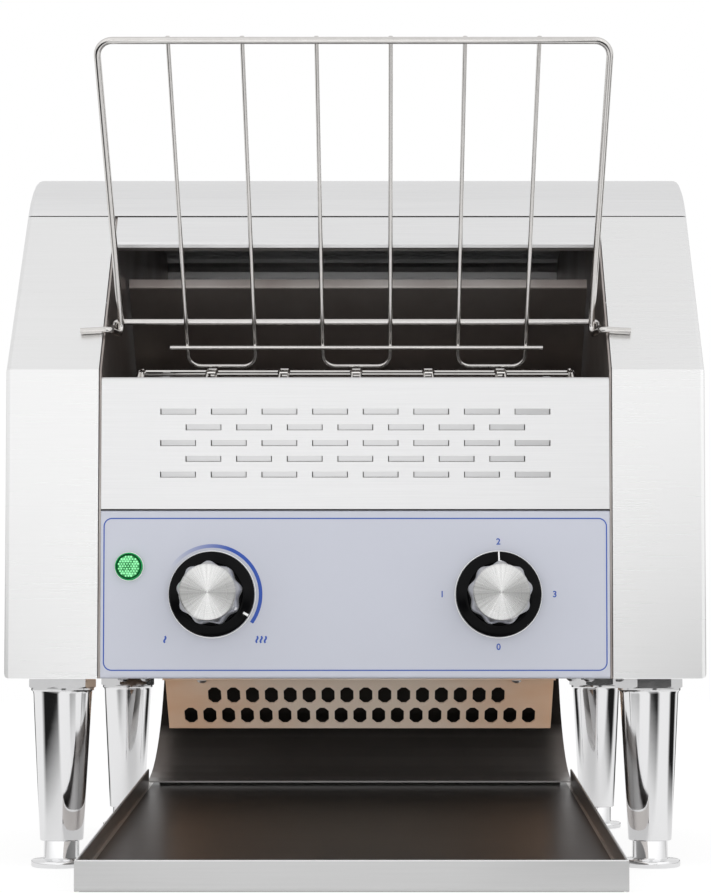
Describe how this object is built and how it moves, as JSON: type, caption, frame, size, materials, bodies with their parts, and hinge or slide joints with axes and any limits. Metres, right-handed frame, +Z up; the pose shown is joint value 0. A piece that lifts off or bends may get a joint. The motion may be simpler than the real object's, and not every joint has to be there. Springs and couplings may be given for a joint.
{
  "type": "conveyor toaster",
  "caption": "Countertop conveyor toaster with wire feed rack, heated wire belt, rounded steel cabinet, control panel with knobs, front collecting tray and tapered legs.",
  "frame": {"origin": "on the table, under the middle of the whole object's bounding box", "axes": "+X to the right of someone facing the front, +Y from the front towards the rear panel, +Z up"},
  "size_m": [0.368, 0.418, 0.419],
  "materials": {
    "brushed_cover": "fine vertical brushing, satin",
    "tray_steel": "satin rolled sheet",
    "oven_steel": "dull, darkened by heat",
    "tinted_steel": "satin with a tan heat tint",
    "chrome": "polished",
    "panel_film": "bluish satin film with printed scales",
    "knob_black": "glossy black moulding",
    "knob_metal": "turned, satin",
    "lamp_green": "translucent green moulding",
    "cast_black": "matt black",
    "drive_steel": "oiled steel",
    "bronze": "plain bearing bronze",
    "ceramic": "off-white insulator",
    "heater_sheath": "dark oxidised sheath",
    "fan_black": "matt black moulding"
  },
  "bodies": {
    "chassis": {"left_side_cover": "brushed_cover", "right_side_cover": "brushed_cover", "top_hood": "brushed_cover", "left_chassis_plate": "oven_steel", "right_chassis_plate": "oven_steel", "throat_strip": "brushed_cover", "vent_panel": "brushed_cover", "control_panel": "panel_film", "rear_panel": "brushed_cover", "cord_bush": "knob_black", "base_plate": "oven_steel", "heat_shield": "oven_steel", "upper_reflector": "oven_steel", "lower_reflector": "oven_steel", "upper_heater_1": "heater_sheath", "upper_heater_2": "heater_sheath", "upper_heater_3": "heater_sheath", "upper_heater_4": "heater_sheath", "lower_heater_1": "heater_sheath", "lower_heater_2": "heater_sheath", "lower_heater_3": "heater_sheath", "idler_bush_left": "bronze", "idler_bush_right": "bronze", "drive_bush_left": "bronze", "drive_bush_right": "bronze", "conveyor_belt": "chrome", "gear_motor": "cast_black", "drive_chain": "drive_steel", "fan_frame": "fan_black", "speed_controller": "fan_black", "rotary_switch": "fan_black", "lamp_bezel": "lamp_green", "lamp_lens": "lamp_green", "terminal_block": "ceramic", "toast_chute": "tray_steel", "perforated_guard": "tinted_steel", "leg_sleeve_front_left": "chrome", "leg_sleeve_front_right": "chrome", "leg_sleeve_rear_left": "chrome", "leg_sleeve_rear_right": "chrome"},
    "speed_control": {"speed_knob_skirt": "knob_black", "speed_knob_cap": "knob_metal", "speed_spindle": "drive_steel"},
    "function_control": {"function_knob_skirt": "knob_black", "function_knob_cap": "knob_metal", "function_spindle": "drive_steel"},
    "drive_line": {"drive_shaft": "drive_steel", "driven_sprocket": "drive_steel"},
    "idler_line": {"idler_shaft": "drive_steel"},
    "motor_line": {"motor_sprocket": "drive_steel"},
    "fan_rotor": {"fan_impeller": "fan_black"},
    "tray": {"collecting_tray": "tray_steel"},
    "rack": {"feed_rack": "chrome"},
    "foot_front_left": {"levelling_foot_front_left": "chrome"},
    "foot_front_right": {"levelling_foot_front_right": "chrome"},
    "foot_rear_left": {"levelling_foot_rear_left": "chrome"},
    "foot_rear_right": {"levelling_foot_rear_right": "chrome"}
  },
  "joints": [
    {"name": "speed_knob_turn", "type": "hinge", "parent": "chassis", "child": "speed_control", "pos_m": [-0.075, -0.105, 0.144], "axis": [0, -1, 0], "range_deg": [-15, 255]},
    {"name": "function_knob_turn", "type": "hinge", "parent": "chassis", "child": "function_control", "pos_m": [0.075, -0.105, 0.144], "axis": [0, 1, 0], "range_deg": [-180, 90]},
    {"name": "drive_shaft_turn", "type": "hinge", "parent": "chassis", "child": "drive_line", "pos_m": [0, 0.02884, 0.12317], "axis": [1, 0, 0], "continuous": true},
    {"name": "idler_shaft_turn", "type": "hinge", "parent": "chassis", "child": "idler_line", "pos_m": [0, -0.06989, 0.24908], "axis": [1, 0, 0], "continuous": true},
    {"name": "motor_output_turn", "type": "hinge", "parent": "chassis", "child": "motor_line", "pos_m": [0.172, 0.07185, 0.26282], "axis": [1, 0, 0], "continuous": true},
    {"name": "fan_turn", "type": "hinge", "parent": "chassis", "child": "fan_rotor", "pos_m": [-0.058, 0.187, 0.186], "axis": [0, 1, 0], "continuous": true},
    {"name": "tray_pull", "type": "slide", "parent": "chassis", "child": "tray", "axis": [0, -1, 0], "range_m": [0, 0.2]},
    {"name": "rack_lift_off", "type": "slide", "parent": "chassis", "child": "rack", "axis": [0, -0.617, 0.7869], "range_m": [0, 0.1]},
    {"name": "foot_front_left_screw", "type": "slide", "parent": "chassis", "child": "foot_front_left", "axis": [0, 0, 1], "range_m": [-0.015, 0.009]},
    {"name": "foot_front_right_screw", "type": "slide", "parent": "chassis", "child": "foot_front_right", "axis": [0, 0, 1], "range_m": [-0.015, 0.009]},
    {"name": "foot_rear_left_screw", "type": "slide", "parent": "chassis", "child": "foot_rear_left", "axis": [0, 0, 1], "range_m": [-0.015, 0.009]},
    {"name": "foot_rear_right_screw", "type": "slide", "parent": "chassis", "child": "foot_rear_right", "axis": [0, 0, 1], "range_m": [-0.015, 0.009]}
  ],
  "couplings": [
    {"joint": "idler_shaft_turn", "follows": "drive_shaft_turn", "ratio": 1},
    {"joint": "motor_output_turn", "follows": "drive_shaft_turn", "ratio": 1.2222}
  ]
}
